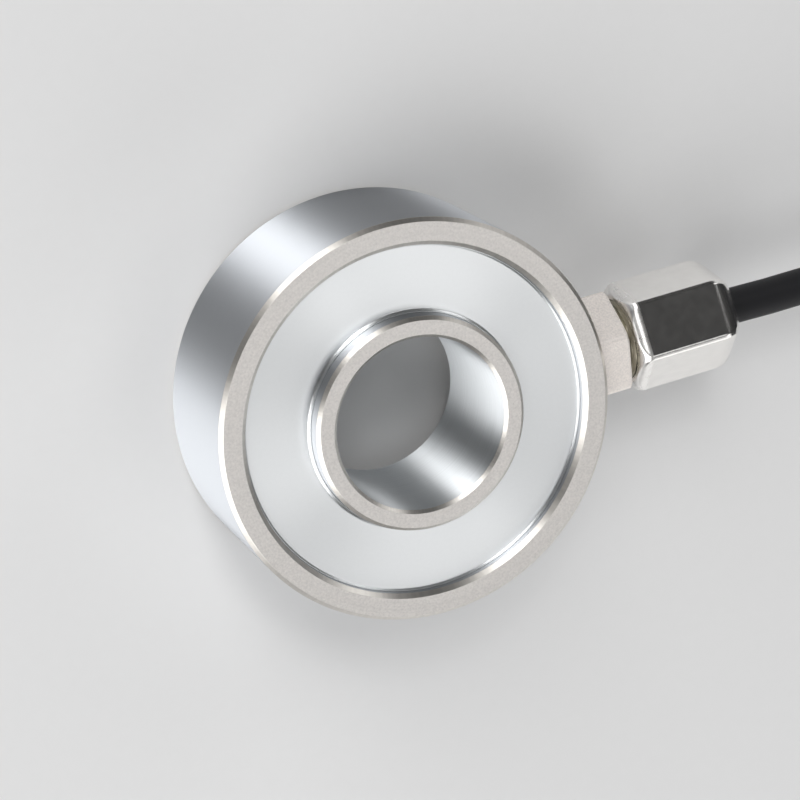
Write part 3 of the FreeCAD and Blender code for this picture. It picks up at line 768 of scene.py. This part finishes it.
def coil_line(sizes, turn):
    """Radius and height of the coil's middle line after a number of turns, which run back from the Y axis.

    Each column climbs or falls by one diameter a turn, and a quarter turn leads from one column to the next.
    The turns rise over the tie by a bell curve of the angle from it.
    """
    pitch = sizes.diameter
    turns = sizes.rising_turns
    marks = np.cumsum([0, turns, COLUMN_SHIFT, turns, COLUMN_SHIFT, turns])
    columns = sizes.outer_radius - pitch * np.array([0, 0, 1, 1, 2, 2])
    heights = pitch / 2 + pitch * turns * np.array([0, 1, 1, 0, 0, 1])
    from_tie = (turn - sizes.tie_turn + 0.5) % 1.0 - 0.5
    lift = sizes.tie_lift * np.exp(-(from_tie / sizes.tie_spread) ** 2)
    return np.interp(turn, marks, columns), np.interp(turn, marks, heights) + lift


def coil_turns(sizes):
    """Turns of the whole coil: those of its columns, and the shifts between them."""
    return COIL_COLUMNS * sizes.rising_turns + (COIL_COLUMNS - 1) * COLUMN_SHIFT


def coil_angle(turn):
    """Angle from the X axis of a number of turns that run back from the Y axis."""
    return FULL_TURN * (QUARTER - turn)


def around_coil(radius, turn, height):
    """Points about the coil's axis, from their radius, turns back from the Y axis, and height."""
    angle = coil_angle(turn)
    x = COIL_CENTRE.x + radius * np.cos(angle)
    y = COIL_CENTRE.y + radius * np.sin(angle)
    return np.stack([x, y, height + 0 * x], axis=-1)


def coil_points(sizes):
    """Points of the coil, a little outside its middle line because the spline runs inside its points.

    In the middle of a span, the spline takes three quarters of one point and an eighth of each neighbour, so
    on a circle it runs at 0.75 + 0.25 cos s of the points' radius, with the angle s between two of them.
    """
    points_per_turn = 24
    turn = np.arange(1, int(coil_turns(sizes) * points_per_turn) + 1) / points_per_turn
    radius, height = coil_line(sizes, turn)
    spread = 1 / (0.75 + 0.25 * math.cos(FULL_TURN / points_per_turn))
    return around_coil(radius * spread, turn, height)


class LOADCELL_OT_cable(bpy.types.Operator):
    """Cable: one smooth line from the nut down to the floor, round the coil and out along its top"""

    bl_idname = "loadcell.cable"
    bl_label = "Cable"

    def execute(self, context):
        sizes = context.scene.loadcell_cable
        cord_radius = sizes.diameter / 2
        leave = (NUT_HIGH.x - MM, 0, PORT_HEIGHT)
        # Places in millimetres between the nut and the coil
        route = np.array(
            [
                (73.0, -0.8, 13.05),
                (87.0, 3.6, 11.6),
                (103.0, 18.4, 4.4),
                (116.0, 23.4, 2.65),
                (132.0, 23.0, 2.6),
            ]
        )
        turns = coil_points(sizes)
        top = (sizes.rising_turns + 1) * sizes.diameter
        # Angle in degrees about the coil's axis, radius, and height over the top of the coil in millimetres
        far = np.array(
            [
                (122.0, 25.5, -1.6),
                (92.0, 27.0, 1.0),
                (62.0, 29.0, 3.0),
                (32.0, 31.0, 3.0),
                (2.0, 32.0, 3.0),
                (-25.0, 32.0, 3.0),
            ]
        )
        far_turn = QUARTER - np.radians(far[:, 0]) / FULL_TURN
        far_points = around_coil(far[:, 1] * MM, far_turn, top + far[:, 2] * MM)
        points = np.concatenate([[leave], route * MM, turns, far_points])
        data = bpy.data.curves.new("cable_jacket", "CURVE")
        data.dimensions = "3D"
        data.bevel_depth = cord_radius
        data.bevel_resolution = 6
        data.resolution_u = 6
        data.use_fill_caps = True
        spline = data.splines.new("NURBS")
        spline.points.add(len(points) - 1)
        weighted = np.concatenate([points, np.ones((len(points), 1))], axis=1)
        spline.points.foreach_set("co", weighted.ravel())
        spline.order_u = 3
        spline.use_endpoint_u = True
        jacket = context.scene.loadcell_colours.jacket
        data.materials.append(plain_finish("soft_pvc_jacket_extruded", jacket, 0.55, 0.4 * MM, specular=0.3))
        cable = add_piece("cable_jacket", data, ["cable_run", "cable_coil", "cable_end"])
        solids = ["end_sleeve", "tinned_tips", "shield_tail", "cable_inner_end", "gland_seal", "clamp_insert"]
        solids += [f"far_core_{core}" for core in CORES]
        surfaces = ["gland_hex_body", "dome_nut", "cable_tie_strap"]
        pieces = [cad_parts[name] for name in solids]
        pieces += [bpy.data.objects[name] for name in surfaces]
        return {"FINISHED"}


class LOADCELL_OT_tie(bpy.types.Operator):
    """Cable tie: a strap drawn tight round the turns, and the hollow head that locks it on top"""

    bl_idname = "loadcell.tie"
    bl_label = "Cable tie"
    strap_steps = 120
    strap_round = 0.25 * MM
    head_steps = 96
    head_round = 0.3 * MM
    window_gap = 0.1 * MM
    side_wall = 0.7 * MM
    top_wall = 0.95 * MM

    def bar(self, thick, width, edge):
        """The outline of a bar with rounded edges: nought to its thickness, and half its width each way."""
        half = width / 2
        return rounded_outline([(0, -half, edge), (0, half, edge), (thick, half, edge), (thick, -half, edge)])

    def strap(self, sizes, lines, materials):
        """The strap's section carried round the turns it holds.

        In each direction, the strap touches the turn that reaches furthest, at that turn's middle line plus
        its radius along the direction.
        """
        t = np.linspace(0, FULL_TURN, self.strap_steps, endpoint=False)
        out = np.stack([np.cos(t), np.sin(t)], axis=1)
        furthest = lines[np.argmax(out @ lines.T, axis=1)]
        section = self.bar(sizes.tie_thickness, sizes.tie_width, self.strap_round)
        reach = sizes.diameter / 2 + FIT_GAP + section[None, :, 0]
        radius = furthest[:, :1] + reach * out[:, :1]
        height = furthest[:, 1:] + reach * out[:, 1:]
        points = self.placed(sizes, radius, section[None, :, 1], height)
        return closed_mesh("cable_tie_strap", points, materials)

    def head(self, sizes, lines, materials):
        """The head: a rounded frame about the strap's run over the top, square in every direction.

        At an angle p the frame reaches to (|cos p / a|^8 + |sin p / b|^8)^(-1/8), with the half sizes a and b
        of its window on the inside and of the head on the outside.
        """
        p = np.linspace(0, FULL_TURN, self.head_steps, endpoint=False)[:, None]
        strap = np.array([sizes.tie_width / 2, sizes.tie_thickness / 2])
        window = strap + self.window_gap
        block = strap + np.array([self.side_wall, self.top_wall])
        inner, outer = (
            (np.abs(np.cos(p) / a) ** 8 + np.abs(np.sin(p) / b) ** 8) ** (-1 / 8) for a, b in (window, block)
        )
        wall = self.bar(MM, sizes.tie_head, self.head_round)
        reach = inner + (outer - inner) * wall[None, :, 0] / MM
        highest = lines[:, 1].max()
        top_lines = lines[lines[:, 1] > highest - sizes.diameter / 4]
        radius = top_lines[:, 0].mean() + wall[None, :, 1]
        middle = highest + sizes.diameter / 2 + FIT_GAP + sizes.tie_thickness / 2
        side = reach * np.cos(p)
        height = middle + reach * np.sin(p)
        points = self.placed(sizes, radius + 0 * reach, side, height)
        return closed_mesh("cable_tie_head", points, materials)

    def placed(self, sizes, radius, side, height):
        """Points at the tie, from their radius and height in its plane and their distance to the side."""
        out = around_coil(radius, sizes.tie_turn, height)
        angle = coil_angle(sizes.tie_turn)
        across = np.array([-math.sin(angle), math.cos(angle), 0])
        return out + (side + 0 * radius)[..., None] * across

    def execute(self, context):
        sizes = context.scene.loadcell_cable
        layers = int(coil_turns(sizes) - sizes.tie_turn) + 1
        lines = np.stack(coil_line(sizes, sizes.tie_turn + np.arange(layers)), axis=1)
        materials = [plain_finish("polyamide_moulded_tie", linear("#222224"), 0.42, 0.3 * MM)]
        joined = bmesh.new()
        joined.from_mesh(self.strap(sizes, lines, materials))
        joined.from_mesh(self.head(sizes, lines, materials))
        data = bpy.data.meshes.new("cable_tie_strap")
        joined.to_mesh(data)
        joined.free()
        data.materials.append(materials[0])
        add_piece("cable_tie_strap", sharpened(data, angle=40.0), ["cable_tie"])
        return {"FINISHED"}


class LOADCELL_OT_inner_parts(bpy.types.Operator):
    """Inner and far-end pieces: the solids stay, and each gets the finish of its own material"""

    bl_idname = "loadcell.inner_parts"
    bl_label = "Inner and far-end pieces"

    def execute(self, context):
        grain = 0.3 * MM
        jacket = context.scene.loadcell_colours.jacket
        finishes = {
            "bridge_board": plain_finish("glass_laminate_board", linear("#2F6B3C"), 0.45, grain),
            "gland_gasket": plain_finish("nitrile_rubber_moulded", linear("#1B1B1B"), 0.6, grain),
            "gland_seal": plain_finish("chloroprene_rubber_moulded", linear("#232323"), 0.6, grain),
            "clamp_insert": plain_finish("polyamide_moulded_black", linear("#2A2A2C"), 0.5, grain),
            "cable_inner_end": plain_finish("soft_pvc_jacket_inner", jacket, 0.45, grain),
            "end_sleeve": plain_finish("shrink_sleeve_polyolefin", linear("#17171A"), 0.35, grain),
        }
        foil = plain_finish("polyimide_gauge_film", linear("#B9792A"), 0.3, grain)
        copper = plain_finish("copper_lead_drawn", linear("#C98B5E"), 0.3, grain, metallic=1.0)
        chip = plain_finish("chip_resistor_glazed", linear("#1E2226"), 0.35, grain)
        tinned = plain_finish("copper_wire_tinned", linear("#C9C9C6"), 0.35, grain, metallic=1.0)
        for i in range(1, 9):
            finishes[f"strain_gauge_{i}"] = foil
            finishes[f"gauge_lead_{i}"] = copper
        for i in range(1, 4):
            finishes[f"trim_resistor_{i}"] = chip
        for name in ("shield_drain", "tinned_tips", "shield_tail"):
            finishes[name] = tinned
        for core, hex_colour in CORES.items():
            insulation = plain_finish(f"pvc_core_{core}_extruded", linear(hex_colour), 0.4, grain)
            finishes[f"core_{core}"] = insulation
            finishes[f"far_core_{core}"] = insulation
        for name, finish in finishes.items():
            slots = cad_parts[name].data.materials
            slots.clear()
            slots.append(finish)
        return {"FINISHED"}


class LOADCELL_OT_stage(bpy.types.Operator):
    """Stage: pale floor, soft overhead light, low side strips and the camera"""

    bl_idname = "loadcell.stage"
    bl_label = "Stage, light and camera"

    def execute(self, context):
        scene = context.scene
        scene.view_settings.view_transform = "Standard"
        reach = 4.0
        corners = [(-reach, -reach, 0), (reach, -reach, 0), (reach, reach, 0), (-reach, reach, 0)]
        data = bpy.data.meshes.new("floor")
        data.from_pydata(corners, [], [(0, 1, 2, 3)])
        paper = plain_finish("matt_paper_floor", scene.loadcell_colours.floor, 0.8, 2.0 * MM, shading=0.01)
        data.materials.append(paper)
        floor = bpy.data.objects.new("floor", data)
        scene.collection.objects.link(floor)
        world = bpy.data.worlds.new("studio")
        world.use_nodes = True
        background = world.node_tree.nodes["Background"]
        background.inputs["Color"].default_value = linear("#2A2A2A")
        background.inputs["Strength"].default_value = 1.0
        scene.world = world
        upright = Vector((0, 0, 1))
        aslant = Vector((0.47, 0.88, 0))
        # Azimuth and elevation in degrees, distance, direction of the height, width and height, and power
        lamps = (
            ("overhead_softbox", -32.7, 68.6, 1.83, aslant, 0.65, 1.1, 3.1),
            ("left_softbox", 202.0, 30.0, 1.6, upright, 1.8, 1.45, 20.5),
            ("left_high_softbox", 215.0, 57.0, 1.6, upright, 1.05, 0.5, 3.6),
            ("back_strip", 108.0, 29.0, 1.6, upright, 0.74, 1.45, 10.0),
            ("back_high_strip", 101.0, 57.0, 1.6, upright, 0.26, 0.5, 4.6),
            ("right_fill", 32.0, 24.0, 1.6, upright, 0.5, 0.9, 2.6),
            ("front_softbox", -65.0, 22.0, 1.6, upright, 1.7, 1.3, 8.0),
        )
        for name, azimuth, elevation, distance, upward, width, height, power in lamps:
            light = bpy.data.lights.new(name, "AREA")
            light.shape = "RECTANGLE"
            light.size = width
            light.size_y = height
            light.energy = power
            around = math.radians(azimuth)
            above = math.radians(elevation)
            level = math.cos(above)
            away = Vector((level * math.cos(around), level * math.sin(around), math.sin(above)))
            side = upward.cross(away).normalized()
            lamp = bpy.data.objects.new(name, light)
            facing = Matrix((side, away.cross(side), away)).transposed().to_4x4()
            lamp.matrix_world = Matrix.Translation(away * distance) @ facing
            scene.collection.objects.link(lamp)
        camera_data = bpy.data.cameras.new("camera")
        camera_data.sensor_width = 36.0
        camera_data.lens = 121.5
        camera = bpy.data.objects.new("camera", camera_data)
        # Directions and place fitted to the ring's outlines in the photograph
        right = Vector((0.91846, -0.17251, 0.35573))
        up = Vector((0.27252, 0.92819, -0.25342))
        forward = Vector((0.28665, -0.32970, -0.89957))
        place = Vector((-105.2, 122.5, 345.7)) * MM
        turn = Matrix((right, up, -forward)).transposed().to_4x4()
        camera.matrix_world = Matrix.Translation(place) @ turn
        scene.collection.objects.link(camera)
        scene.camera = camera
        return {"FINISHED"}


OPERATORS = (
    LOADCELL_OT_ring,
    LOADCELL_OT_cover,
    LOADCELL_OT_gland,
    LOADCELL_OT_nut,
    LOADCELL_OT_tie,
    LOADCELL_OT_cable,
    LOADCELL_OT_inner_parts,
    LOADCELL_OT_stage,
)
GROUPS = {
    "loadcell_ring": RingSizes,
    "loadcell_gland": GlandSizes,
    "loadcell_cable": CableSizes,
    "loadcell_colours": FinishColours,
}


class LOADCELL_PT_panel(bpy.types.Panel):
    """Lists the pieces that can be built, with their sizes and colours"""

    bl_idname = "LOADCELL_PT_panel"
    bl_label = "Load cell"
    bl_space_type = "VIEW_3D"
    bl_region_type = "UI"
    bl_category = "Load cell"

    def draw(self, context):
        """One button for each operator, and below them the fields of each group."""
        for operator in OPERATORS:
            self.layout.operator(operator.bl_idname)
        for name, group in GROUPS.items():
            values = getattr(context.scene, name)
            self.layout.label(text=group.__doc__)
            for field in group.__annotations__:
                self.layout.prop(values, field)


def register():
    """Register the groups, hang them on the scene, and register the operators and the panel."""
    for group in GROUPS.values():
        bpy.utils.register_class(group)
    for name, group in GROUPS.items():
        setattr(bpy.types.Scene, name, PointerProperty(type=group))
    for operator in OPERATORS:
        bpy.utils.register_class(operator)
    bpy.utils.register_class(LOADCELL_PT_panel)


def unregister():
    """Undo what register does, in the other order."""
    bpy.utils.unregister_class(LOADCELL_PT_panel)
    for operator in reversed(OPERATORS):
        bpy.utils.unregister_class(operator)
    for name, group in GROUPS.items():
        delattr(bpy.types.Scene, name)
        bpy.utils.unregister_class(group)


def main():
    """Build all pieces and the stage."""
    register()
    bpy.ops.loadcell.ring()
    bpy.ops.loadcell.cover()
    bpy.ops.loadcell.gland()
    bpy.ops.loadcell.nut()
    bpy.ops.loadcell.tie()
    bpy.ops.loadcell.cable()
    bpy.ops.loadcell.inner_parts()
    bpy.ops.loadcell.stage()


if __name__ == "__main__":
    main()
